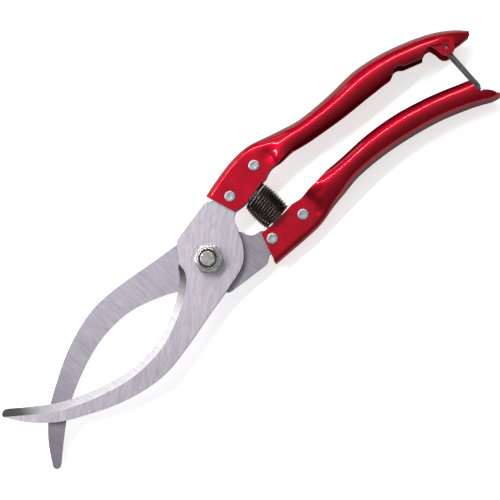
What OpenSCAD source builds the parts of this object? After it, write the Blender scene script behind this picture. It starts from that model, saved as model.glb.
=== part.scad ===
// Sprung hoof nipper: two crossing blades on a lock-nutted pivot bolt, pressed channel handles
// riveted to the tangs, a barrel spring between the handles and a wire catch at their ends.
// Units are millimetres. The pivot axis is Z, the handles point along +X, and Z = 0 is the
// underside of the bolt head, which lies level with the undersides of the grips.

/* [Blades] */
// Thickness of each blade
blade_t = 3.5; // [3:0.1:3.8]
// Width of the ground bevel along the cutting edge
bevel_w = 4; // [3:0.1:4.2]
// Flat left under the bevel at the cutting edge
edge_land = 0.4; // [0.3:0.05:0.6]
// Gap between the two blades, and between a blade and the bolt head
shear_gap = 0.04; // [0.02:0.01:0.1]

/* [Handles] */
// Thickness of the pressed sheet
sheet_t = 1.5; // [1.2:0.1:1.6]
// Distance of a grip's curled rims from the middle plane
rim_gap = 5.6; // [5.5:0.1:6]

/* [Pivot] */
// Diameter of the pivot bolt
bolt_d = 8; // [7:0.5:8]
// Height of the bolt head
head_h = 5.3; // [5:0.1:5.6]
// Across flats of the bolt head and of the nut
hex_af = 13; // [12.5:0.1:13.5]
// Height of the lock nut
nut_h = 8; // [7.8:0.1:8.5]

/* [Rivets] */
// Diameter of the rivet shanks
rivet_d = 4; // [3:0.5:4]
// Diameter of the rivet heads
rivet_head_d = 5.6; // [5.2:0.1:6]
// Height of the rivet heads
rivet_head_h = 0.8; // [0.5:0.1:1]

/* [Spring] */
// Diameter of the spring wire
spring_wire_d = 1.3; // [1:0.1:1.3]
// Outside diameter of the spring at its middle
spring_od = 17; // [15:0.1:17]
// Outside diameter of the spring at its ends
spring_end_od = 14.2; // [12.8:0.1:14.2]
// Number of turns
spring_turns = 11; // [8:1:11]

/* [Catch] */
// Diameter of the catch wire
catch_wire_d = 1.6; // [1.4:0.1:1.8]
// Distance of each leg of the catch from the middle plane
catch_leg_z = 3.7; // [3.5:0.1:3.8]

/* [Hidden] */

// Fits and small details
fit = 0.03;                // gap round a fixed shank and beside a tang
turning_fit = 0.05;        // gap round a shank that turns
past = 1;                  // how far a cutter runs past what it cuts
spot_face_r = 9;           // shallow turned ring round the nut and round the bolt head
spot_face_depth = 0.2;
bolt_chamfer = 0.5;
bolt_proud = 0.3;          // end of the bolt above the nut
hex_corner = 0.9;          // how far the corners of a hexagon reach past its flats
hex_chamfer = 0.6;         // height of the chamfer on those corners
collar_h = 2.4;            // the nut's round top, which holds the nylon ring under its lip
collar_r = 5.6;
lip_r = 4.9;
lip_h = 0.3;
ring_r = 4.8;
ring_h = 1.7;
rivet_chamfer = 0.3;
steel = [0.78, 0.76, 0.79];
red = [0.7, 0.02, 0.08];

// Levels, up from the surface that the tool lies on
rear_z = head_h + shear_gap - spot_face_depth;
mid_z = rear_z + blade_t + shear_gap / 2;       // the plane that the blades shear on
front_z = mid_z + shear_gap / 2;
nut_z = front_z + blade_t - spot_face_depth;
tang_lift = (shear_gap + blade_t) / 2;          // middle of a tang from the middle plane
flat_half = blade_t / 2 + fit + sheet_t;        // half thickness of a handle over its tang

// Outline of a blade: outer edge from the boss to the tip, cutting edge back to the root,
// then the tang, whose peg stands into the spring
outer_edge = [[20.4, 0.4], [16.4, -7.6], [9, -14], [-4, -17], [-19, -19.4], [-36.5, -22.6], [-52.5, -24.6],
              [-66, -23.5], [-82, -18.9], [-96.5, -12.1], [-110, -4.2], [-120.8, 6], [-128, 16.4]];
cutting_edge = [[-124.6, 19.4], [-115.3, 11.6], [-103, 2.6], [-88.7, -4.3], [-73, -9.4], [-60, -11.1],
                [-45, -9.8], [-27.2, -2.8], [-17.3, 4.3], [-14.1, 8.2]];
past_tip = [-128.6, 22.8];  // where the bevel's line runs out beyond the two ends of that edge
past_root = [-12.7, 11];
edge_steps = 3;            // points from one of those to the next
tip_centre = [-126.5, 18];
tip_r = 2.2;
tang = [[-12.4, 9.3], [-11.2, 10.3], [-7.8, 14.6], [-5.2, 18], [-3.8, 18.6], [17.6, 21.6], [19.4, 21.4],
        [22.6, 19.4], [26, 20.4], [34, 22.6], [44, 23.8], [51, 23.6], [53, 21.5], [53.4, 14], [52, 10.4],
        [41.3, 9.6], [41.3, 5], [40.8, 4.5], [35.8, 4.5], [35.3, 5], [35.3, 9.8], [30.6, 9.8],
        [29.4, 8.8], [28.3, 7.8], [25.2, 7.2], [23.2, 6], [22, 4], [21.2, 1.4]];

// Stations of a handle: point on its back, point on its rims, half thickness, and 0 for the
// flat folded section to 1 for the oval grip
upper_stations = [
    [[21.2, 23.9], [25.9, 7.8], 0, 0], [[30, 25.7], [33, 6.9], 0, 0],
    [[41.5, 27.3], [43, 8.3], 0, 0], [[53.4, 27.1], [54.4, 8.3], 0, 0],
    [[61.4, 24.8], [60.6, 8.3], 5.6, 0.5], [[70, 21.5], [68.5, 8.9], 7.9, 0.9],
    [[82, 17.9], [80, 6.5], 8.5, 1], [[100, 16.2], [98.5, 3.4], mid_z, 1],
    [[118, 15.7], [115.5, 1.5], mid_z, 1], [[134, 12.1], [130, -0.6], mid_z, 1],
    [[149, 6.3], [143.4, -5.4], 8.4, 1], [[160, 0.5], [154, -9.6], 7.8, 1],
    [[168, -5.8], [162.8, -12], 6, 1], [[172.3, -11.2], [170.6, -13.3], 2.6, 1]];
lower_stations = [
    [[21.9, -25.1], [27.7, -8.9], 0, 0], [[31, -25.8], [34, -9.8], 0, 0],
    [[41, -26.6], [43, -9.9], 0, 0], [[53.4, -27], [54.4, -9], 0, 0],
    [[61.4, -25.7], [60.6, -9.3], 5.6, 0.5], [[70, -24.7], [69.5, -10.1], 7.9, 0.9],
    [[82, -23.6], [82, -11.2], 8.5, 1], [[98, -25], [99.5, -12.2], mid_z, 1],
    [[114, -28.2], [117, -15.3], mid_z, 1], [[130, -32.8], [134.3, -20.8], mid_z, 1],
    [[143, -38.2], [148, -26.6], 8.4, 1], [[150, -41.7], [155.6, -30.6], 8, 1],
    [[155, -44.6], [159.5, -38.4], 6.4, 1], [[158.6, -45.8], [160.4, -43.8], 2.8, 1]];
span_steps = 4;            // rings from one station to the next
half_ring = 8;             // steps of a ring from its back to a rim
back_share = 0.45;         // share of a flat ring's steps that go round its back
least_curl = 0.95;         // sine of the rim angle where the section is too thin to curl

// What is cut from the rims near the ends of the handles, and the mouth between the lower rims
upper_trim = [[127.5, -3], [127.6, -0.2], [130, 0.5], [132, 1.4], [133.6, 1.4], [135.2, 0.5],
              [136.5, -1], [146.3, -5], [147.2, -4.2], [148.7, -3.2], [150.8, -2.9], [153, -3.7],
              [162.3, -11.1], [163, -30], [127.5, -30]];
lower_trim = [[154, -26], [154, -29.2], [153.1, -33.9], [153.1, -37.1], [154.8, -37.3], [156.4, -38.6],
              [158.3, -41], [159.6, -43.4], [166, -43.4], [166, -26]];
mouth = [[149.5, -24], [149.5, -33], [160, -38], [160, -24]];

rivet_places = [[29.6, 14.8], [49, 17.2]];
ear_centre = [157.7, -9.5];
ear_r = 4.2;
ear_root = [[153.6, -8.6], [152.6, -3.2], [156, -1.5], [161, -4.5], [163.4, -8.8], [161.8, -10.4]];
ear_z = 5.4;               // inner face of an ear from the middle plane
ear_t = 1.5;
eyelet_r = 2.2;
eyelet_h = 0.3;
catch_bend = [155.9, -34.2];
catch_end = [154, -36.3];
catch_pin_end = ear_z + ear_t - 0.5;
// Hook pressed up from the back of the lower handle, for the catch to seat under
hook = [[148, -39.9], [148, -35.6], [149.4, -33.7], [152.5, -33.7], [152.5, -34.9], [150.3, -34.9],
        [149.4, -36], [149.4, -40.6]];
hook_half_w = 2.4;

spring_x = 38.8;
spring_y = [5.8, -8.7];    // middle of the wire at the two ends
wire_sides = 6;
leg_sides = 12;
turn_steps = 18;

function mix(a, b, t) = a + (b - a) * t;
function unit(v) = v / norm(v);
function turned(v) = [-v[1], v[0]];
function column(rows, k) = [for (row = rows) row[k]];
function backwards(list) = [for (i = [len(list) - 1 : -1 : 0]) list[i]];

// Catmull-Rom curve through a list of points or numbers, with n steps a span
function curve_point(a, b, c, d, t) =
    0.5 * (2 * b + (c - a) * t + (2 * a - 5 * b + 4 * c - d) * t * t + (3 * b - a - 3 * c + d) * t * t * t);
function curve(p, n) =
    let (last = len(p) - 1)
    [for (i = [0 : last - 1]) for (k = [0 : n - 1])
         curve_point(p[max(i - 1, 0)], p[i], p[i + 1], p[min(i + 2, last)], k / n), p[last]];
function arc(centre, r, from, to, n) =
    [for (k = [0 : n]) let (a = mix(from, to, k / n)) centre + r * [cos(a), sin(a)]];

// Solid over a row of rings that have the same even number of points. An end is closed by a
// strip between the first half of its ring and the second half, which run side by side.
module skin(rings) {
    n = len(rings[0]);
    last = (len(rings) - 1) * n;
    sides = [for (i = [0 : len(rings) - 2]) for (k = [0 : n - 1])
                 let (a = i * n + k, b = i * n + (k + 1) % n)
                 for (face = [[a, b, b + n], [a, b + n, a + n]]) face];
    strip = [for (k = [0 : n / 2 - 2])
                 for (face = [[k, n - 2 - k, k + 1], [k, n - 1 - k, n - 2 - k]]) face];
    far_strip = [for (face = strip) [last + face[0], last + face[2], last + face[1]]];
    polyhedron([for (ring = rings) for (p = ring) p], concat(sides, strip, far_strip));
}

// A blade as it lies at the front: flat face down on Z = 0, bevel and spot face up
module blade(bolt_hole_r) {
    difference() {
        linear_extrude(blade_t) polygon(concat(
            curve(outer_edge, edge_steps), arc(tip_centre, tip_r, 215, 38, 6),
            curve(cutting_edge, edge_steps), tang));
        bevel_cutter();
        translate([0, 0, -past]) cylinder(r = bolt_hole_r, h = blade_t + 2 * past, $fn = 64);
        translate([0, 0, blade_t - spot_face_depth]) cylinder(r = spot_face_r, h = past, $fn = 96);
        for (place = rivet_places)
            translate([place[0], place[1], -past])
                cylinder(r = rivet_d / 2 + fit, h = blade_t + 2 * past, $fn = 48);
    }
}

// Wedge along the cutting edge: its sloping face leaves edge_land under the bevel
module bevel_cutter() {
    edge = curve(concat([past_tip], cutting_edge, [past_root]), edge_steps);
    last = len(edge) - 1;
    slope = (blade_t - edge_land) / bevel_w;
    top = blade_t + slope * past;
    skin([for (i = [0 : last])
        let (along = unit(edge[min(i + 1, last)] - edge[max(i - 1, 0)]),
             inward = -turned(along),
             w = bevel_w * min(1, 0.05 + 0.15 * (last - i)),
             deep = edge_land + slope * (bevel_w - w),
             low = edge[i] - past * inward,
             high = edge[i] + (w + past) * inward)
        [[low[0], low[1], deep - slope * past], [high[0], high[1], top], [high[0], high[1], top + past],
         [low[0], low[1], top + past]]]);
}

module front_blade() {
    color(steel) translate([0, 0, front_z]) blade(bolt_d / 2 + fit);
}

module rear_blade() {
    color(steel) translate([0, 0, rear_z + blade_t]) rotate([180, 0, 0]) blade(bolt_d / 2 + turning_fit);
}

// One side of a handle's section at t, from 0 at the back to 1 at the rim, in [across, up]
function flat_side(t, w, h) =
    t < back_share ? [w - h + h * cos(90 * t / back_share), h * sin(90 * t / back_share)]
                   : [(w - h) * (1 - t) / (1 - back_share), h];
function oval_side(t, w, h) =
    let (rim = asin(min(rim_gap / h, least_curl)), a = (180 - rim) * t)
    [w * (cos(a) + cos(rim)) / (1 + cos(rim)), h * sin(a)];
function section(w, h, oval) =
    [for (k = [-half_ring : half_ring])
        let (t = abs(k) / half_ring, side = k < 0 ? -1 : 1,
             p = mix(flat_side(t, w, h), oval_side(t, w, h), oval))
        [p[0], side * p[1]]];
function inset(points, d) =
    let (last = len(points) - 1)
    [for (i = [0 : last])
        points[i] + d * turned(unit(points[min(i + 1, last)] - points[max(i - 1, 0)]))];

// Channel pressed from one sheet, swept along its stations. Side 1 is the upper handle, whose
// back is on its left, and side -1 the lower handle.
module channel(stations, side) {
    backs = curve(column(stations, 0), span_steps);
    rims = curve(column(stations, 1), span_steps);
    halves = curve(column(stations, 2), span_steps);
    ovals = curve(column(stations, 3), span_steps);
    skin([for (i = [0 : len(backs) - 1])
        let (w = norm(backs[i] - rims[i]),
             across = unit(backs[i] - rims[i]),
             h = max(halves[i], i > 4 * span_steps ? 0 : flat_half),
             oval = min(max(ovals[i], 0), 1),
             outer = section(w, h, oval),
             inner = inset(outer, min(sheet_t, h / 2, w / 3)))
        [for (p = side < 0 ? concat(outer, backwards(inner)) : concat(inner, backwards(outer)))
            let (xy = rims[i] + p[0] * across) [xy[0], xy[1], mid_z + side * mix(tang_lift, 0, oval) + p[1]]]]);
}

module rivet_holes(side) {
    for (place = rivet_places)
        translate([place[0], side * place[1], 0]) cylinder(r = rivet_d / 2 + fit, h = 2 * mid_z, $fn = 48);
}

// Walls that hold the catch: an ear inside each wall, with a raised rim round its hole
module ears() {
    for (side = [-1, 1]) translate([0, 0, mid_z]) mirror([0, 0, (1 - side) / 2]) difference() {
        union() {
            translate([0, 0, ear_z]) linear_extrude(ear_t) union() {
                polygon(ear_root);
                translate(ear_centre) circle(r = ear_r, $fn = 48);
            }
            translate([ear_centre[0], ear_centre[1], ear_z]) cylinder(r = eyelet_r, h = ear_t + eyelet_h, $fn = 48);
        }
        translate([ear_centre[0], ear_centre[1], 0])
            cylinder(r = catch_wire_d / 2 + turning_fit, h = 2 * ear_z, $fn = 48);
    }
}

module upper_handle() {
    color(red) union() {
        difference() {
            channel(upper_stations, 1);
            translate([0, 0, -past]) linear_extrude(2 * mid_z + 2 * past) polygon(upper_trim);
            rivet_holes(1);
        }
        ears();
    }
}

module lower_handle() {
    color(red) union() {
        difference() {
            channel(lower_stations, -1);
            translate([0, 0, -past]) linear_extrude(2 * mid_z + 2 * past) polygon(lower_trim);
            translate([0, 0, mid_z - rim_gap]) linear_extrude(2 * rim_gap) polygon(mouth);
            rivet_holes(-1);
        }
        translate([0, 0, mid_z - hook_half_w]) linear_extrude(2 * hook_half_w) polygon(hook);
    }
}

// Rivet with two flat heads, through both walls of a handle and the tang between them
module rivet(place, z) {
    head_z = flat_half + rivet_head_h;
    color("lightgray") translate([place[0], place[1], z]) rotate_extrude($fn = 48) polygon([
        [0, -head_z], [rivet_head_d / 2 - rivet_chamfer, -head_z],
        [rivet_head_d / 2, -head_z + rivet_chamfer], [rivet_head_d / 2, -flat_half],
        [rivet_d / 2, -flat_half], [rivet_d / 2, flat_half], [rivet_head_d / 2, flat_half],
        [rivet_head_d / 2, head_z - rivet_chamfer], [rivet_head_d / 2 - rivet_chamfer, head_z],
        [0, head_z]]);
}

module upper_front_rivet() { rivet(rivet_places[0], mid_z + tang_lift); }
module upper_back_rivet() { rivet(rivet_places[1], mid_z + tang_lift); }
module lower_front_rivet() { rivet([rivet_places[0][0], -rivet_places[0][1]], mid_z - tang_lift); }
module lower_back_rivet() { rivet([rivet_places[1][0], -rivet_places[1][1]], mid_z - tang_lift); }

module pivot_bolt() {
    bolt_end = nut_z + nut_h + bolt_proud;
    color("silver") union() {
        intersection() {
            cylinder(d = hex_af / cos(30), h = head_h, $fn = 6);
            rotate_extrude($fn = 64) polygon([
                [0, 0], [hex_af / 2 - past / 4, 0], [hex_af / 2 + hex_corner, hex_chamfer],
                [hex_af / 2 + hex_corner, head_h], [0, head_h]]);
        }
        rotate_extrude($fn = 64) polygon([
            [0, head_h / 2], [bolt_d / 2, head_h / 2], [bolt_d / 2, bolt_end - bolt_chamfer],
            [bolt_d / 2 - bolt_chamfer, bolt_end], [0, bolt_end]]);
    }
}

// Hexagon with a round collar on top, whose lip holds the nylon ring
module lock_nut() {
    hex_h = nut_h - collar_h;
    color("gainsboro") translate([0, 0, nut_z]) difference() {
        union() {
            intersection() {
                cylinder(d = hex_af / cos(30), h = hex_h, $fn = 6);
                rotate_extrude($fn = 64) polygon([
                    [0, 0], [hex_af / 2, 0], [hex_af / 2 + hex_corner, hex_chamfer],
                    [hex_af / 2 + hex_corner, hex_h - hex_chamfer], [hex_af / 2 - past / 4, hex_h], [0, hex_h]]);
            }
            rotate_extrude($fn = 64) polygon([
                [0, hex_h - past], [collar_r, hex_h - past], [collar_r, hex_h + collar_h / 2],
                [lip_r + lip_h, nut_h - lip_h], [lip_r, nut_h], [0, nut_h]]);
        }
        translate([0, 0, -past]) cylinder(r = bolt_d / 2 + fit, h = nut_h + 2 * past, $fn = 64);
        translate([0, 0, nut_h - lip_h - ring_h]) cylinder(r = ring_r + fit, h = ring_h, $fn = 64);
        translate([0, 0, nut_h - 2 * lip_h]) cylinder(r = ring_r - lip_h, h = past, $fn = 64);
    }
}

module nylon_insert() {
    color("black") translate([0, 0, nut_z + nut_h - lip_h - ring_h]) difference() {
        cylinder(r = ring_r, h = ring_h, $fn = 64);
        translate([0, 0, -past]) cylinder(r = bolt_d / 2 + fit, h = ring_h + 2 * past, $fn = 64);
    }
}

// Barrel spring: the coil widens from each end to the middle
module barrel_spring() {
    steps = spring_turns * turn_steps;
    wire_r = spring_wire_d / 2;
    color([0.1, 0.1, 0.1]) skin([for (i = [0 : steps])
        let (t = i / steps, a = 360 * i / turn_steps,
             r = mix(spring_end_od, spring_od, sqrt(sin(180 * t))) / 2 - wire_r,
             centre = [spring_x + r * cos(a), mix(spring_y[0], spring_y[1], t), mid_z + r * sin(a)],
             out = [cos(a), 0, sin(a)])
        [for (k = [0 : wire_sides - 1])
            let (b = 360 * k / wire_sides) centre + wire_r * (cos(b) * out - sin(b) * [0, 1, 0])]]);
}

// One leg of the catch, mitred where the wire bends
module catch_leg() {
    path = [ear_centre, catch_bend, catch_end];
    r = catch_wire_d / 2 - fit;
    skin([for (i = [0 : 2])
        let (before = unit(path[max(i, 1)] - path[max(i, 1) - 1]),
             after = unit(path[min(i, 1) + 1] - path[min(i, 1)]),
             mitre = unit(before + after),
             across = turned(mitre) / (mitre * before))
        [for (k = [0 : leg_sides - 1])
            let (b = 360 * k / leg_sides, xy = path[i] + r * cos(b) * across) [xy[0], xy[1], -r * sin(b)]]]);
}

module wire_catch() {
    wire_r = catch_wire_d / 2;
    color([0.15, 0.15, 0.16]) union() {
        for (side = [-1, 1]) {
            translate([0, 0, mid_z + side * catch_leg_z]) catch_leg();
            translate([ear_centre[0], ear_centre[1], mid_z]) mirror([0, 0, (1 - side) / 2])
                translate([0, 0, catch_leg_z - wire_r])
                    cylinder(r = wire_r, h = catch_pin_end - catch_leg_z + wire_r, $fn = 32);
        }
        translate([catch_end[0], catch_end[1], mid_z - catch_leg_z - wire_r])
            cylinder(r = wire_r, h = 2 * (catch_leg_z + wire_r), $fn = 32);
    }
}

front_blade();
rear_blade();
upper_handle();
lower_handle();
upper_front_rivet();
upper_back_rivet();
lower_front_rivet();
lower_back_rivet();
pivot_bolt();
lock_nut();
nylon_insert();
barrel_spring();
wire_catch();
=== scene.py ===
from math import asin, cos, hypot, pi, radians, sin, sqrt

import bpy
from mathutils import Matrix, Vector


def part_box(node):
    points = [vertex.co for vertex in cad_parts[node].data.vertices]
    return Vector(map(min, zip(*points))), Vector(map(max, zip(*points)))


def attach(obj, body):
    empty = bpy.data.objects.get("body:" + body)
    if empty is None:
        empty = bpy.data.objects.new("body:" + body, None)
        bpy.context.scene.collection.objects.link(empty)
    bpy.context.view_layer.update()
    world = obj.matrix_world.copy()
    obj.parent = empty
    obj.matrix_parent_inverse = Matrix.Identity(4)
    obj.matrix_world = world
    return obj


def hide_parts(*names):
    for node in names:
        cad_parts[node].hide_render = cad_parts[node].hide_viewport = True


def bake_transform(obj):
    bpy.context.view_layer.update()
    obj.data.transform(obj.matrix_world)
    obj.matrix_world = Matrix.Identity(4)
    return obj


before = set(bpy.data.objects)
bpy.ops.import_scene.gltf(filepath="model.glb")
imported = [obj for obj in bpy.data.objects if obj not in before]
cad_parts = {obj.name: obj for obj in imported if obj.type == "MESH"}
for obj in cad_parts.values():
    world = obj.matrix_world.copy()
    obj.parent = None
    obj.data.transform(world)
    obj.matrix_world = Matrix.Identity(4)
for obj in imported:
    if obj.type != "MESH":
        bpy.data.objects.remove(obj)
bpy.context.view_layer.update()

mm = 0.001

# ---- Blades ---------------------------------------------------------------------------------
# One stamping of 3.5 mm tool steel used twice: the rear blade is the front one turned over.
# The faces are ground, and a bevel is ground along the hollow edge of the outer face.
outer_edge = [(20.4, 0.4), (16.4, -7.6), (9, -14), (-4, -17), (-19, -19.4), (-36.5, -22.6), (-52.5, -24.6),
              (-66, -23.5), (-82, -18.9), (-96.5, -12.1), (-110, -4.2), (-120.8, 6), (-128, 16.4)]
tip_centre = (-126.5, 18)
tip_r = 2.2
cutting_edge = [(-124.6, 19.4), (-115.3, 11.6), (-103, 2.6), (-88.7, -4.3), (-73, -9.4), (-60, -11.1),
                (-45, -9.8), (-27.2, -2.8), (-17.3, 4.3), (-14.1, 8.2)]
tang = [(-12.4, 9.3), (-11.2, 10.3), (-7.8, 14.6), (-5.2, 18), (-3.8, 18.6), (17.6, 21.6), (19.4, 21.4),
        (22.6, 19.4), (26, 20.4), (34, 22.6), (44, 23.8), (51, 23.6), (53, 21.5), (53.4, 14), (52, 10.4),
        (41.3, 9.6), (41.3, 5), (40.8, 4.5), (35.8, 4.5), (35.3, 5), (35.3, 9.8), (30.6, 9.8),
        (29.4, 8.8), (28.3, 7.8), (25.2, 7.2), (23.2, 6), (22, 4), (21.2, 1.4)]
past_tip = (-128.6, 22.8)
past_root = (-12.7, 11)
bevel_w = 4
edge_land = 0.4
spot_face_r = 9
spot_face_deep = 0.2
edge_steps = 8
rivet_places = [(29.6, 14.8), (49, 17.2)]
rivet_hole_r = 2.03
bolt_hole_r = 4.04

front_low, front_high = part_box("front_blade")
rear_low, rear_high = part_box("rear_blade")
blade_t = (front_high[2] - front_low[2]) / mm
mid_z = (front_low[2] + rear_high[2]) / 2 / mm


def through(points, steps):
    """A smooth curve through the points, as a list of Vectors."""
    p = [Vector(q) for q in points]
    last = len(p) - 1
    curve = []
    for i in range(last):
        a, b, c, d = p[max(i - 1, 0)], p[i], p[i + 1], p[min(i + 2, last)]
        for k in range(steps):
            t = k / steps
            curve.append(0.5 * (2 * b + (c - a) * t + (2 * a - 5 * b + 4 * c - d) * t ** 2
                                + (3 * b - a - 3 * c + d) * t ** 3))
    return curve + [p[last]]


def arc(centre, r, first, last, steps):
    """Points round part of a circle, from one angle to another in degrees."""
    turn = [radians(first + (last - first) * k / steps) for k in range(steps + 1)]
    return [Vector((centre[0] + r * cos(a), centre[1] + r * sin(a))) for a in turn]


def only(piece):
    """Nothing else is selected, and operators act on this piece."""
    bpy.ops.object.select_all(action="DESELECT")
    piece.hide_set(False)
    piece.select_set(True)
    bpy.context.view_layer.objects.active = piece


def edit(piece, *steps):
    """Each step runs in edit mode with the whole piece selected."""
    only(piece)
    bpy.ops.object.mode_set(mode="EDIT")
    for step in steps:
        bpy.ops.mesh.select_all(action="SELECT")
        step()
    bpy.ops.object.mode_set(mode="OBJECT")


def outward():
    bpy.ops.mesh.normals_make_consistent(inside=False)


def named(name):
    piece = bpy.context.object
    piece.name = piece.data.name = name
    return piece


def blank(name, outline, z, height):
    """A flat plate with this outline, from z up, in millimetres."""
    bpy.ops.object.select_all(action="DESELECT")
    bpy.ops.mesh.primitive_circle_add(vertices=len(outline), radius=1, fill_type="NGON")
    plate = named(name)
    for corner, point in zip(plate.data.vertices, outline):
        corner.co = (point[0] * mm, point[1] * mm, z * mm)
    edit(plate,
         lambda: bpy.ops.mesh.extrude_region_move(TRANSFORM_OT_translate={"value": (0, 0, height * mm)}),
         outward)
    return plate


def sheet(name, rows):
    """A flat grid laid over rows of points, in millimetres."""
    bpy.ops.object.select_all(action="DESELECT")
    bpy.ops.mesh.primitive_grid_add(x_subdivisions=len(rows[0]) - 1, y_subdivisions=len(rows) - 1, size=1)
    grid = named(name)
    for corner, point in zip(grid.data.vertices, [p for row in rows for p in row]):
        corner.co = Vector(point) * mm
    return grid


def drum(name, x, y, z, r, height, sides=64):
    """A round cutter standing on z, in millimetres."""
    bpy.ops.object.select_all(action="DESELECT")
    bpy.ops.mesh.primitive_cylinder_add(vertices=sides, radius=r * mm, depth=height * mm,
                                        location=(x * mm, y * mm, (z + height / 2) * mm))
    bpy.ops.object.transform_apply(location=True, rotation=True, scale=True)
    return named(name)


def modified(piece, kind, **settings):
    """Adds a modifier with these settings and applies it."""
    only(piece)
    modifier = piece.modifiers.new(kind.lower(), kind)
    for key, value in settings.items():
        setattr(modifier, key, value)
    bpy.ops.object.modifier_apply(modifier=modifier.name)
    return piece


def cut(piece, *cutters, how="DIFFERENCE"):
    for cutter in cutters:
        modified(piece, "BOOLEAN", operation=how, solver="EXACT", object=cutter)
        bpy.data.objects.remove(cutter)
    return piece


def mended(piece):
    """Joins the corners that a cut has left almost touching."""
    edit(piece,
         lambda: bpy.ops.mesh.remove_doubles(threshold=0.002 * mm),
         lambda: bpy.ops.mesh.dissolve_degenerate(threshold=0.002 * mm),
         lambda: bpy.ops.mesh.delete_loose(use_verts=True, use_edges=True, use_faces=False),
         lambda: bpy.ops.mesh.fill_holes(sides=6))


def softened(piece, width, angle=30, segments=2):
    """Rounds the edges sharper than this angle, and shades the rest smooth."""
    mended(piece)
    modified(piece, "BEVEL", width=width * mm, segments=segments, limit_method="ANGLE",
             angle_limit=radians(angle), harden_normals=False)
    mended(piece)
    only(piece)
    bpy.ops.object.shade_smooth_by_angle(angle=radians(angle))
    modified(piece, "WEIGHTED_NORMAL", keep_sharp=True, weight=80)
    return piece


def bevel_wedge(z):
    """What grinding takes off along the hollow edge."""
    edge = through([past_tip] + cutting_edge + [past_root], edge_steps)
    slope = (blade_t - edge_land) / bevel_w
    rows = []
    for i, here in enumerate(edge):
        along = (edge[min(i + 1, len(edge) - 1)] - edge[max(i - 1, 0)]).normalized()
        inward = Vector((along.y, -along.x))
        w = bevel_w * min(1, 0.05 + 0.15 * 3 * (len(edge) - 1 - i) / edge_steps)
        low = here - inward
        high = here + inward * (w + 1)
        rows.append([(low.x, low.y, z + blade_t - slope * (w + 1)), (high.x, high.y, z + blade_t + slope)])
    wedge = sheet("bevel_wedge", rows)
    edit(wedge,
         lambda: bpy.ops.mesh.extrude_region_move(TRANSFORM_OT_translate={"value": (0, 0, 9 * mm)}),
         outward)
    return wedge


def blade(name, z):
    outline = (through(outer_edge, edge_steps) + arc(tip_centre, tip_r, 215, 38, 10)
               + through(cutting_edge, edge_steps) + [Vector(p) for p in tang])
    plate = blank(name, outline, z, blade_t)
    cut(plate, bevel_wedge(z), drum("hole", 0, 0, z - 1, bolt_hole_r, blade_t + 2),
        drum("spot_face", 0, 0, z + blade_t - spot_face_deep, spot_face_r, 1, 96),
        *[drum("hole", x, y, z - 1, rivet_hole_r, blade_t + 2, 32) for x, y in rivet_places])
    return softened(plate, 0.1)


def shader(name, metallic, roughness, **sockets):
    """A new material and its nodes: the tree, the surface shader and the object's coordinates."""
    material = bpy.data.materials.new(name)
    material.use_nodes = True
    tree = material.node_tree
    surface = tree.nodes["Principled BSDF"]
    surface.inputs["Metallic"].default_value = metallic
    surface.inputs["Roughness"].default_value = roughness
    for socket, value in sockets.items():
        surface.inputs[socket.replace("_", " ")].default_value = value
    place = tree.nodes.new("ShaderNodeTexCoord").outputs["Object"]
    return material, tree, surface, place


def node(tree, kind, inputs=(), **settings):
    """A node with its inputs set to values or joined to other nodes' outputs."""
    made = tree.nodes.new("ShaderNode" + kind)
    for key, value in settings.items():
        setattr(made, key, value)
    for key, value in dict(inputs).items():
        if isinstance(value, bpy.types.NodeSocket):
            tree.links.new(value, made.inputs[key])
        else:
            made.inputs[key].default_value = value
    return made


def noise(tree, place, scale, turn=0, stretch=(1, 1, 1), detail=4):
    """Noise over the object, turned about the upright axis and drawn out along one direction."""
    spread = node(tree, "Mapping", {"Vector": place, "Rotation": (0, 0, radians(turn)),
                                    "Scale": [1 / s for s in stretch]}, vector_type="TEXTURE")
    grain = node(tree, "TexNoise", {"Vector": spread.outputs[0], "Scale": scale, "Detail": detail})
    return grain.outputs["Fac"]


def ramp(tree, factor, low, high, dark, light):
    """Maps a number from low to high onto two colours."""
    made = node(tree, "ValToRGB", {"Fac": factor})
    made.color_ramp.elements[0].position = low
    made.color_ramp.elements[0].color = (*dark, 1)
    made.color_ramp.elements[1].position = high
    made.color_ramp.elements[1].color = (*light, 1)
    return made.outputs["Color"]


def span(tree, value, low, high, first, last):
    return node(tree, "MapRange", {"Value": value, "From Min": low, "From Max": high, "To Min": first,
                                   "To Max": last}).outputs[0]


def along(tree, place, shade_stops):
    """Painted light and shade along the blade, as grey levels from (x in millimetres, level) pairs."""
    x = node(tree, "SeparateXYZ", {0: place}).outputs["X"]
    low, high = shade_stops[0][0], shade_stops[-1][0]
    made = node(tree, "ValToRGB", {"Fac": span(tree, x, low * mm, high * mm, 0, 1)})
    for i, (at, level) in enumerate(shade_stops):
        place_on_ramp = (at - low) / (high - low)
        stop = made.color_ramp.elements[i] if i < 2 else made.color_ramp.elements.new(place_on_ramp)
        stop.position = place_on_ramp
        stop.color = (level, level, level, 1)
    return made.outputs["Color"]


def times(tree, a, b):
    mix = node(tree, "Mix", data_type="RGBA", blend_type="MULTIPLY")
    mix.inputs["Factor"].default_value = 1
    tree.links.new(a, mix.inputs[6])
    tree.links.new(b, mix.inputs[7])
    return mix.outputs[2]


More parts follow.
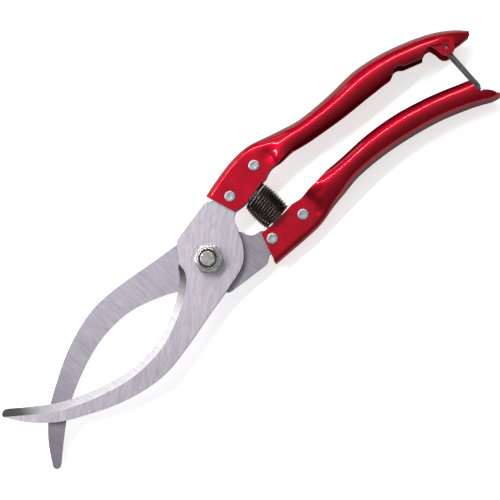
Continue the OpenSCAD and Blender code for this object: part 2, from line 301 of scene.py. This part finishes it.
def ground_steel(name, turn, dark, light, shade_stops):
    """Surface-ground steel: long scratches one way, with faint broad bands between them, times painted light
    and shade along the blade.
    """
    material, tree, surface, place = shader(name, 0.85, 0.4)
    scratches = noise(tree, place, 260, turn, (1, 22, 1), 6)
    bands = noise(tree, place, 200, turn, (0.4, 4, 1), 2)
    fine = node(tree, "Math", {0: scratches, 1: 2.0}, operation="MULTIPLY").outputs[0]
    both = node(tree, "Math", {0: fine, 1: bands}, operation="ADD").outputs[0]
    colour = ramp(tree, span(tree, both, 1.0, 2.0, 0, 1), 0, 1, dark, light)
    # The steel's colour is multiplied by the painted light and shade along the blade.
    tree.links.new(times(tree, colour, along(tree, place, shade_stops)), surface.inputs["Base Color"])
    tree.links.new(span(tree, scratches, 0.3, 0.7, 0.34, 0.5), surface.inputs["Roughness"])
    bump = node(tree, "Bump", {"Height": scratches, "Strength": 0.15, "Distance": 0.05 * mm})
    tree.links.new(bump.outputs[0], surface.inputs["Normal"])
    return material


def bevel_ground(plate, steel, facing):
    """The faces of the bevel, which slope, get a steel of their own, and the sheared sides a dark one."""
    plate.data.materials.append(steel)
    plate.data.materials.append(sheared_steel)
    for face in plate.data.polygons:
        if abs(face.normal.z) < 0.5:
            face.material_index = 2
        if 0.3 < face.normal.z * facing < 0.93 and face.area > 0.15 * mm * mm and face.center.x < -10 * mm:
            face.material_index = 1


sheared_steel, tree, surface, place = shader("sheared_steel", 0.6, 0.55)
torn = noise(tree, place, 400, 0, (1, 1, 0.2))
tree.links.new(ramp(tree, torn, 0.3, 0.7, (0.05, 0.05, 0.055), (0.16, 0.155, 0.165)),
               surface.inputs["Base Color"])

front_blade = blade("blade_front", front_low[2] / mm)
# The grey levels along the blade are painted light and shade: brighter at the tip, darker along the tang
# under the handle.
front_blade.data.materials.append(ground_steel(
    "front_ground_steel", 38, (0.44, 0.41, 0.475), (0.72, 0.67, 0.75),
    [(-128, 1.1), (-100, 0.98), (-60, 0.95), (-20, 1.05), (20, 0.95), (55, 0.9)]))
# The bevel's grey levels along the blade are painted shade and reflection: dark at its tip and at its root by
# the pivot, bright between.
bevel_ground(front_blade, ground_steel(
    "front_bevel_steel", 110, (0.56, 0.54, 0.57), (0.9, 0.88, 0.91),
    [(-129, 0.1), (-121, 0.16), (-112, 0.8), (-100, 1.0),
     (-30, 1.0), (-22, 0.55), (-17, 0.25), (-12, 0.2)]), 1)
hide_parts("front_blade")
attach(front_blade, "front_half")

rear_blade = blade("blade_rear", -rear_high[2] / mm)
only(rear_blade)
rear_blade.rotation_euler = (pi, 0, 0)
bpy.ops.object.transform_apply(location=True, rotation=True, scale=True)
# Its steel is a darker copy of the front blade's, ground the other way, and its grey levels along the blade
# are painted shade: darker at the tip and along the neck and tang under the handles.
rear_blade.data.materials.append(ground_steel(
    "rear_ground_steel", 95, (0.37, 0.34, 0.41), (0.6, 0.56, 0.64),
    [(-128, 0.5), (-112, 0.62), (-90, 0.9), (-40, 1.0), (-10, 0.95), (15, 0.7), (55, 0.6)]))
# The bevel's grey levels along the blade are painted shade: darker at its tip and its root.
bevel_ground(rear_blade, ground_steel(
    "rear_bevel_steel", 110, (0.6, 0.58, 0.6), (0.9, 0.9, 0.9),
    [(-129, 0.3), (-112, 0.8), (-30, 1.0), (-17, 0.5), (-12, 0.3)]), -1)
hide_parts("rear_blade")
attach(rear_blade, "rear_half")

# ---- Handles --------------------------------------------------------------------------------
# Each handle is one 1.5 mm steel sheet folded over its tang and pressed into a hollow grip,
# open towards the other handle. Both are sprayed a clear candy red over bright metal.
# A station is its back and its rim in plan, half its depth, and how round it is, from 0 to 1.
# A depth of 0 is the flat over the tang.
upper_stations = [
    ((21.2, 23.9), (25.9, 7.8), 0, 0), ((30, 25.7), (33, 6.9), 0, 0),
    ((41.5, 27.3), (43, 8.3), 0, 0), ((52.6, 27.1), (53.4, 8.5), 0, 0),
    ((60.6, 25), (59.8, 8.2), 5.6, 0.5), ((70, 21.5), (68.5, 8.9), 7.9, 0.9),
    ((82, 17.9), (80, 6.5), 8.5, 1), ((100, 16.2), (98.5, 3.4), mid_z, 1),
    ((118, 15.7), (115.5, 1.5), mid_z, 1), ((134, 12.1), (130, -0.6), mid_z, 1),
    ((149, 6.3), (143.4, -5.4), 8.4, 1), ((160, 0.5), (154, -9.6), 7.8, 1),
    ((168, -5.8), (162.8, -12), 6, 1), ((172.6, -11), (170.4, -13.4), 2.9, 1)]
lower_stations = [
    ((21.9, -25.1), (27.7, -8.9), 0, 0), ((31, -25.8), (34, -9.8), 0, 0),
    ((41, -26.6), (43, -9.9), 0, 0), ((52.6, -27), (53.4, -9.2), 0, 0),
    ((60.6, -25.8), (59.8, -9.2), 5.6, 0.5), ((70, -24.7), (69.5, -10.1), 7.9, 0.9),
    ((82, -23.6), (82, -11.2), 8.5, 1), ((98, -25), (99.5, -12.2), mid_z, 1),
    ((114, -28.2), (117, -15.3), mid_z, 1), ((130, -32.8), (134.3, -20.8), mid_z, 1),
    ((143, -38.2), (148, -26.6), 8.4, 1), ((150, -41.7), (155.6, -30.6), 8, 1),
    ((155, -44.6), (159.5, -38.4), 6.4, 1), ((158.6, -45.8), (160.4, -43.8), 2.8, 1),
    ((159.7, -45.7), (161, -44.3), 1.8, 1)]
upper_trim = [(127.5, -3), (127.6, -0.2), (130, 0.5), (132, 1.4), (133.6, 1.4), (135.2, 0.5),
              (136.5, -1), (146.3, -5), (147.2, -4.2), (148.7, -3.2), (150.8, -2.9), (153, -3.7),
              (162.3, -11.1), (163, -30), (127.5, -30)]
lower_trim = [(154, -26), (154, -29.2), (153.1, -33.9), (153.1, -37.1), (154.8, -37.3), (156.4, -38.6),
              (158.3, -41), (159.6, -43.4), (166, -43.4), (166, -26)]
mouth = [(149.5, -24), (149.5, -33), (160, -38), (160, -24)]
hook = [(148, -39.9), (148, -35.6), (149.4, -33.7), (152.5, -33.7), (152.5, -34.9), (150.3, -34.9),
        (149.4, -36), (149.4, -40.6)]
hook_half_w = 2.4
sheet_t = 1.5
rim_gap = 5.6
tang_lift = mid_z - (rear_low[2] + rear_high[2]) / 2 / mm
tang_fit = 0.03
flat_half = blade_t / 2 + tang_fit + sheet_t
span_steps = 10
half_ring = 20
back_share = 0.45
eased_from = 49
eased_to = 72
ear_centre = (157.7, -9.5)
ear_r = 4.2
ear_root = [(161.8, -10.4), (163.4, -8.8), (161, -4.5), (156, -1.5), (152.6, -3.2), (153.5, -7.2)]
ear_z = 5.4
ear_t = 1.5
eyelet_r = 2.2
eyelet_h = 0.35
eyelet_mouth_r = 1.55
pin_hole_r = 1.15
# A dimple is its middle, half its length, half its width and its depth.
upper_dimples = [(59.5, 16.2, 8, 5.5, 0.7)]
lower_dimples = [(62, -15, 6, 2.8, 0.5), (55, -21.3, 2.6, 2, 0.45)]


def section(w, h, oval):
    """The outside of a handle from one rim round the back to the other, as (across, up)."""
    rim = asin(min(rim_gap / h, 0.95))
    points = []
    for k in range(-half_ring, half_ring + 1):
        t = abs(k) / half_ring
        if t < back_share:
            a = pi / 2 * t / back_share
            flat = Vector((w - h + h * cos(a), h * sin(a)))
        else:
            flat = Vector(((w - h) * (1 - t) / (1 - back_share), h))
        a = (pi - rim) * t
        round_ = Vector((w * (cos(a) + cos(rim)) / (1 + cos(rim)), h * sin(a)))
        p = flat.lerp(round_, oval)
        points.append((p.x, p.y if k > 0 else -p.y))
    return points


def channel(name, stations, side, dimples):
    backs = through([s[0] for s in stations], span_steps)
    rims = through([s[1] for s in stations], span_steps)
    shape = through([(s[2], s[3]) for s in stations], span_steps)
    rows = []
    for i, (back, rim) in enumerate(zip(backs, rims)):
        across = (back - rim).normalized()
        h = max(shape[i].x, 0 if i > 4 * span_steps else flat_half)
        oval = min(max(shape[i].y, 0), 1)
        middle = mid_z + side * tang_lift * (1 - oval)
        rows.append([(*(rim + across * p[0]), middle + p[1]) for p in section((back - rim).length, h, oval)])
    skin = sheet(name, rows)
    eased = skin.vertex_groups.new(name="eased")
    for corner in skin.data.vertices:
        x = corner.co.x / mm
        if eased_from < x < eased_to:
            eased.add([corner.index], min((x - eased_from) / 5, (eased_to - x) / 8, 1), "REPLACE")
    modified(skin, "SMOOTH", factor=0.5, iterations=28, vertex_group="eased")
    for corner in skin.data.vertices:
        for x, y, long, wide, deep in dimples:
            reach = hypot((corner.co.x / mm - x) / long, (corner.co.y / mm - y) / wide)
            if reach < 1:
                corner.co.z -= deep * mm * (1 + cos(pi * reach)) / 2 * (1 if corner.co.z > mid_z * mm else -1)
    modified(skin, "SOLIDIFY", thickness=sheet_t * mm, offset=-side, use_even_offset=True)
    edit(skin, outward)
    return skin


def candy_red():
    """Clear red over bright metal under a glassy clear coat, with painted shade that darkens the red where
    the sheet turns away from facing up.
    """
    material, tree, surface, place = shader(
        "candy_red_paint", 0.9, 0.4, Specular_IOR_Level=0.0, Specular_Tint=(0.35, 0.05, 0.1, 1),
        Coat_Weight=1, Coat_Roughness=0.04, Coat_IOR=1.33)
    mottle = noise(tree, place, 90, 0, (1, 1, 1), 3)
    colour = ramp(tree, mottle, 0.3, 0.7, (0.42, 0.0, 0.013), (0.52, 0.0, 0.02))
    # Painted shade: the red is multiplied darker on the flanks, where the surface turns away from facing
    # straight up.
    facing = tree.nodes.new("ShaderNodeTexCoord").outputs["Normal"]
    upright = node(tree, "SeparateXYZ", {0: facing}).outputs["Z"]
    flank = node(tree, "Math", {0: upright}, operation="ABSOLUTE").outputs[0]
    depth = ramp(tree, flank, 0.3, 0.92, (0.1, 0.1, 0.5), (1, 1, 1))
    tree.links.new(times(tree, colour, depth), surface.inputs["Base Color"])
    tree.links.new(span(tree, flank, 0.1, 0.6, 0.2, 1), surface.inputs["Coat Weight"])
    peel = noise(tree, place, 700, 0, (1, 1, 1), 2)
    tree.links.new(span(tree, noise(tree, place, 260), 0.3, 0.7, 0.34, 0.46), surface.inputs["Roughness"])
    bump = node(tree, "Bump", {"Height": peel, "Strength": 0.05, "Distance": 0.05 * mm})
    tree.links.new(bump.outputs[0], surface.inputs["Normal"])
    return material


red_paint = candy_red()


def finish_handle(handle, cad_node, body):
    softened(handle, 0.35, 40, 3)
    handle.data.materials.append(red_paint)
    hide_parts(cad_node)
    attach(handle, body)


def rivet_holes(side):
    return [drum("hole", x, side * y, 0, rivet_hole_r, 2 * mid_z, 32) for x, y in rivet_places]


def ear(side):
    outline = arc(ear_centre, ear_r, 180, 330, 14) + [Vector(p) for p in ear_root]
    plate = blank("ear", outline, mid_z + side * ear_z - (ear_t if side < 0 else 0), ear_t)
    return plate


upper_handle = channel("handle_upper", upper_stations, 1, upper_dimples)
cut(upper_handle, blank("trim", upper_trim, -1, 2 * mid_z + 2), *rivet_holes(1))
cut(upper_handle, ear(1), ear(-1), how="UNION")
for side in (1, -1):
    low = mid_z + side * ear_z - (ear_t + eyelet_h if side < 0 else 0)
    cut(upper_handle, drum("eyelet", *ear_centre, low, eyelet_r, ear_t + eyelet_h, 40), how="UNION")
cut(upper_handle, drum("pin_hole", *ear_centre, 0, pin_hole_r, 2 * mid_z, 32))
for side in (1, -1):
    low = mid_z + side * (ear_z + ear_t + 0.1) - (1 if side < 0 else 0)
    cut(upper_handle, drum("eyelet_mouth", *ear_centre, low, eyelet_mouth_r, 1, 40))
finish_handle(upper_handle, "upper_handle", "front_half")

lower_handle = channel("handle_lower", lower_stations, -1, lower_dimples)
cut(lower_handle, blank("trim", lower_trim, -1, 2 * mid_z + 2),
    blank("mouth", mouth, mid_z - rim_gap, 2 * rim_gap), *rivet_holes(-1))
cut(lower_handle, blank("hook", hook, mid_z - hook_half_w, 2 * hook_half_w), how="UNION")
finish_handle(lower_handle, "lower_handle", "rear_half")

# ---- Rivets ---------------------------------------------------------------------------------
# Four soft steel rivets of 4 mm, set cold: the struck heads are flat, dished in the middle and
# a little darker there.
rivet_head_r = 2.8
rivet_head_h = 0.8


def turned(name, profile, x, y):
    """A solid of revolution about an upright axis, from (radius, height) points in millimetres."""
    bpy.ops.object.select_all(action="DESELECT")
    bpy.ops.mesh.primitive_circle_add(vertices=len(profile), radius=1)
    ring = named(name)
    for corner, (r, z) in zip(ring.data.vertices, profile):
        corner.co = ((x + r) * mm, y * mm, z * mm)
    edit(ring,
         lambda: bpy.ops.mesh.spin(steps=48, angle=2 * pi, center=(x * mm, y * mm, 0), axis=(0, 0, 1)),
         lambda: bpy.ops.mesh.remove_doubles(threshold=0.001 * mm),
         lambda: bpy.ops.mesh.dissolve_degenerate(threshold=0.001 * mm),
         lambda: bpy.ops.mesh.delete_loose(use_verts=True, use_edges=True, use_faces=False),
         outward)
    return ring


def rivet_steel():
    material, tree, surface, place = shader("struck_rivet_steel", 0.85, 0.42)
    dents = noise(tree, place, 900, 0, (1, 1, 1), 4)
    tree.links.new(ramp(tree, dents, 0.3, 0.7, (0.26, 0.27, 0.30), (0.52, 0.54, 0.58)),
                   surface.inputs["Base Color"])
    bump = node(tree, "Bump", {"Height": dents, "Strength": 0.3, "Distance": 0.06 * mm})
    tree.links.new(bump.outputs[0], surface.inputs["Normal"])
    return material


struck_steel = rivet_steel()
for side, half, body in ((1, "upper", "front_half"), (-1, "lower", "rear_half")):
    for (x, y), end in zip(rivet_places, ("front", "back")):
        middle = mid_z + side * tang_lift
        top = flat_half + rivet_head_h
        half_profile = [(2, 0), (2, flat_half), (rivet_head_r, flat_half), (rivet_head_r, top - 0.35),
                        (rivet_head_r - 0.12, top - 0.1), (rivet_head_r - 0.4, top), (1.5, top - 0.02),
                        (0.8, top - 0.12), (0, top - 0.16)]
        profile = ([(r, middle + z) for r, z in half_profile[1:]]
                   + [(r, middle - z) for r, z in reversed(half_profile[1:])])
        rivet = turned(f"rivet_{half}_{end}", profile, x, side * y)
        only(rivet)
        bpy.ops.object.shade_smooth_by_angle(angle=radians(35))
        rivet.data.materials.append(struck_steel)
        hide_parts(f"{half}_{end}_rivet")
        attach(rivet, body)

# ---- Pivot ----------------------------------------------------------------------------------
# An M8 bolt from below with a lock nut on top: a chamfered hexagon, a rolled collar over a black
# nylon ring, and the bolt's chamfered end just proud of it. Both are bright zinc plated.
bolt_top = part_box("pivot_bolt")[1][2] / mm
nut_low, nut_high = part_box("lock_nut")
ring_low, ring_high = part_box("nylon_insert")
hex_af = 13
hex_corner = 0.9
hex_turn = 15
collar_r = 5.6
collar_h = 2.4
lip_r = 4.9
bolt_r = 4
bore_r = 4.03
ring_r = 4.8
ring_seat_r = 4.82


def hexagon(name, low, high, profile):
    """A hexagonal bar cut to a turned profile."""
    drum(name, 0, 0, low, hex_af / sqrt(3), high - low, 6)
    bar = bpy.context.object
    edit(bar, lambda: bpy.ops.transform.rotate(value=radians(-hex_turn - 30), orient_axis="Z",
                                               center_override=(0, 0, 0)))
    return cut(bar, turned("chamfers", profile, 0, 0), how="INTERSECT")


def zinc_plate():
    material, tree, surface, place = shader("bright_zinc", 0.95, 0.22)
    cloud = noise(tree, place, 350, 0, (1, 1, 1), 3)
    tint = ramp(tree, cloud, 0.35, 0.65, (0.45, 0.44, 0.44), (0.72, 0.71, 0.7))
    tree.links.new(tint, surface.inputs["Base Color"])
    tree.links.new(span(tree, noise(tree, place, 900), 0.3, 0.7, 0.16, 0.32), surface.inputs["Roughness"])
    return material


zinc = zinc_plate()
nut_z = nut_low[2] / mm
nut_top = nut_high[2] / mm
hex_top = nut_top - collar_h
wide = hex_af / 2 + hex_corner
ring_bottom = ring_low[2] / mm
ring_top = ring_high[2] / mm
lock_nut = hexagon("nut", nut_z, hex_top, [
    (0, nut_z - 1), (hex_af / 2 - 1, nut_z - 1), (hex_af / 2 + 0.3, nut_z), (wide + 0.3, nut_z + 0.6),
    (wide + 0.3, hex_top - 0.8), (hex_af / 2 - 0.4, hex_top), (hex_af / 2 - 3, hex_top + 1),
    (0, hex_top + 1)])
cut(lock_nut, turned("collar", [
    (0, hex_top - 1), (collar_r, hex_top - 1), (collar_r, hex_top + 0.9),
    (collar_r - 0.15, hex_top + 1.4), (lip_r + 0.3, nut_top - 0.25), (lip_r, nut_top - 0.05),
    (lip_r - 0.3, nut_top), (0, nut_top)], 0, 0), how="UNION")
cut(lock_nut, drum("bore", 0, 0, nut_z - 1, bore_r, nut_top - nut_z + 2),
    drum("ring_seat", 0, 0, ring_bottom, ring_seat_r, (ring_high[2] - ring_low[2]) / mm),
    drum("ring_mouth", 0, 0, ring_top - 0.1, 4.7, 2))
softened(lock_nut, 0.12, 30)
lock_nut.data.materials.append(zinc)
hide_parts("lock_nut")
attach(lock_nut, "front_half")

head_top = 5.3
bolt = hexagon("bolt", 0, head_top, [
    (0, -1), (hex_af / 2 - 2, -1), (hex_af / 2 - 0.3, 0), (wide + 0.3, 0.7),
    (wide + 0.3, head_top + 1), (0, head_top + 1)])
cut(bolt, turned("shank", [
    (0, head_top - 2), (bolt_r, head_top - 2), (bolt_r, bolt_top - 0.6), (3.9, bolt_top - 0.45),
    (3.45, bolt_top - 0.05), (3.3, bolt_top), (0, bolt_top)], 0, 0), how="UNION")
softened(bolt, 0.1, 30)
bolt.data.materials.append(zinc)
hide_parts("pivot_bolt")
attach(bolt, "front_half")

nylon_ring = turned("nylon_ring", [
    (bore_r, ring_bottom), (ring_r, ring_bottom), (ring_r, ring_top - 0.1), (4.6, ring_top),
    (4.2, ring_top), (bore_r, ring_top - 0.2)], 0, 0)
only(nylon_ring)
bpy.ops.object.shade_smooth_by_angle(angle=radians(35))
nylon, tree, surface, place = shader("black_nylon", 0, 0.6)
tree.links.new(ramp(tree, noise(tree, place, 800), 0.3, 0.7, (0.006, 0.006, 0.007), (0.02, 0.02, 0.022)),
               surface.inputs["Base Color"])
nylon_ring.data.materials.append(nylon)
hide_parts("nylon_insert")
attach(nylon_ring, "front_half")

# ---- Spring ---------------------------------------------------------------------------------
# A barrel spring of blackened wire, seated over the pegs of the two tangs. Its ends follow the
# slopes of the two handles, so the coils fan out.
spring_low, spring_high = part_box("barrel_spring")
coil_wire_r = 0.62
coil_turns = 10.5
coil_points = 64
coil_end_r = 6.9
coil_middle_r = (spring_high[0] - spring_low[0]) / 2 / mm - coil_wire_r
upper_seat = Vector((38.8, 6.6))
lower_seat = Vector((38.9, -9))
upper_tilt = 8
lower_tilt = 0


def wire(name, points, r, sides):
    """Round wire along these points, in millimetres."""
    line = bpy.data.curves.new(name, "CURVE")
    line.dimensions = "3D"
    line.bevel_depth = r * mm
    line.bevel_resolution = sides // 4 - 1
    line.use_fill_caps = True
    spline = line.splines.new("POLY")
    spline.points.add(len(points) - 1)
    for point, p in zip(spline.points, points):
        point.co = (*(Vector(p) * mm), 1)
    piece = bpy.data.objects.new(name, line)
    bpy.context.scene.collection.objects.link(piece)
    only(piece)
    bpy.ops.object.convert(target="MESH")
    piece = named(name)
    edit(piece, lambda: bpy.ops.mesh.remove_doubles(threshold=0.001 * mm), outward)
    only(piece)
    bpy.ops.object.shade_smooth_by_angle(angle=radians(50))
    return piece


coil = []
for i in range(int(coil_turns * coil_points) + 1):
    t = i / (coil_turns * coil_points)
    a = 2 * pi * i / coil_points
    tilt = radians(upper_tilt + (lower_tilt - upper_tilt) * t)
    r = coil_end_r + (coil_middle_r - coil_end_r) * sin(pi * t) ** 0.5
    centre = upper_seat.lerp(lower_seat, t)
    coil.append((centre.x + r * cos(a) * cos(tilt), centre.y + r * cos(a) * sin(tilt), mid_z + r * sin(a)))
spring = wire("spring", coil, coil_wire_r, 20)
black_wire, tree, surface, place = shader("blackened_wire", 1.0, 0.2)
tree.links.new(ramp(tree, noise(tree, place, 120), 0.3, 0.7, (0.035, 0.027, 0.023), (0.08, 0.064, 0.055)),
               surface.inputs["Base Color"])
spring.data.materials.append(black_wire)
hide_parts("barrel_spring")
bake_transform(spring)

# ---- Catch ----------------------------------------------------------------------------------
# A loop of 1.6 mm dark wire whose ends turn out into the two ears. It swings down so that its
# crossbar seats under the hook inside the other handle and holds the tool shut.
catch_r = 0.8
catch_leg_z = 3.7
catch_bend = (155.9, -34.2)
catch_end = (154, -36.3)
catch_pin = 6.4
bend_r = 1.1


def rounded(path, r, steps=8):
    """A path with an arc at each inner corner."""
    p = [Vector(q) for q in path]
    points = [p[0]]
    for before, here, after in zip(p, p[1:], p[2:]):
        back, on = (before - here).normalized(), (after - here).normalized()
        half = back.angle(on) / 2
        reach = r / abs(sin(half) / cos(half))
        centre = here + (back + on).normalized() * (r / sin(half))
        first, last = here + back * reach - centre, here + on * reach - centre
        points += [centre + first.slerp(last, k / steps) for k in range(steps + 1)]
    return points + [p[-1]]


half_loop = [(*ear_centre, catch_pin), (*ear_centre, catch_leg_z), (*catch_bend, catch_leg_z),
             (*catch_end, catch_leg_z)]
loop = half_loop + [(x, y, -z) for x, y, z in reversed(half_loop)]
catch = wire("catch", [p + Vector((0, 0, mid_z)) for p in rounded(loop, bend_r)], catch_r, 16)
dark_wire, tree, surface, place = shader("dark_wire", 0.7, 0.36)
tree.links.new(ramp(tree, noise(tree, place, 600), 0.3, 0.7, (0.1, 0.1, 0.103), (0.2, 0.2, 0.205)),
               surface.inputs["Base Color"])
catch.data.materials.append(dark_wire)
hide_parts("wire_catch")
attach(catch, "catch")

# ---- Floor, light and camera ----------------------------------------------------------------
# A plain pale floor, a soft overhead light, and one long strip light that draws the thin line
# of shine along each grip.
look_at = Vector((17.7, -10.9, 10)) * mm
camera_distance = 0.694
camera_tilt = 6
floor_z = -0.0002

bpy.ops.object.select_all(action="DESELECT")
bpy.ops.mesh.primitive_plane_add(size=6, location=(0, 0, floor_z))
floor = named("floor")
pale, tree, surface, place = shader("pale_floor", 0, 0.9)
surface.inputs["Base Color"].default_value = (0.9, 0.9, 0.9, 1)
surface.inputs["Emission Color"].default_value = (1, 1, 1, 1)
surface.inputs["Emission Strength"].default_value = 0.6
floor.data.materials.append(pale)


def softbox(name, direction, distance, size, energy):
    lamp = bpy.data.lights.new(name, "AREA")
    lamp.shape = "RECTANGLE"
    lamp.size, lamp.size_y = size
    lamp.energy = energy
    box = bpy.data.objects.new(name, lamp)
    bpy.context.scene.collection.objects.link(box)
    z = Vector(direction).normalized()
    x = Vector((1, 0, 0)) - z * z.x
    x.normalize()
    y = z.cross(x)
    box.matrix_world = Matrix.Translation(look_at + z * distance) @ Matrix((x, y, z)).transposed().to_4x4()


softbox("strip", (0.03, sin(radians(34)), cos(radians(34))), 1.3, (2.0, 0.06), 15)
softbox("side", (-0.3, 0.92, 0.28), 1.4, (1.6, 0.5), 5)
softbox("overhead", (0.1, 0.1, 1), 1.8, (1.6, 1.6), 1.5)

world = bpy.data.worlds.new("studio")
bpy.context.scene.world = world
world.use_nodes = True
tree = world.node_tree
background = tree.nodes["Background"]
sky = node(tree, "SeparateXYZ", {0: tree.nodes.new("ShaderNodeTexCoord").outputs["Generated"]}).outputs["Z"]
tree.links.new(ramp(tree, sky, 0.1, 0.85, (0.35, 0.35, 0.36), (1.0, 1.0, 1.0)), background.inputs["Color"])
background.inputs["Strength"].default_value = 0.33

camera_data = bpy.data.cameras.new("camera")
camera_data.lens = 100
camera_data.sensor_width = 36
camera = bpy.data.objects.new("camera", camera_data)
bpy.context.scene.collection.objects.link(camera)
towards = Vector((0, -sin(radians(camera_tilt)), cos(radians(camera_tilt))))
up = Vector((1, 1, 0)).normalized()
up = (up - towards * up.dot(towards)).normalized()
right = up.cross(towards)
camera.matrix_world = (Matrix.Translation(look_at + towards * camera_distance)
                       @ Matrix((right, up, towards)).transposed().to_4x4())
bpy.context.scene.camera = camera
bpy.context.scene.view_settings.view_transform = "Standard"
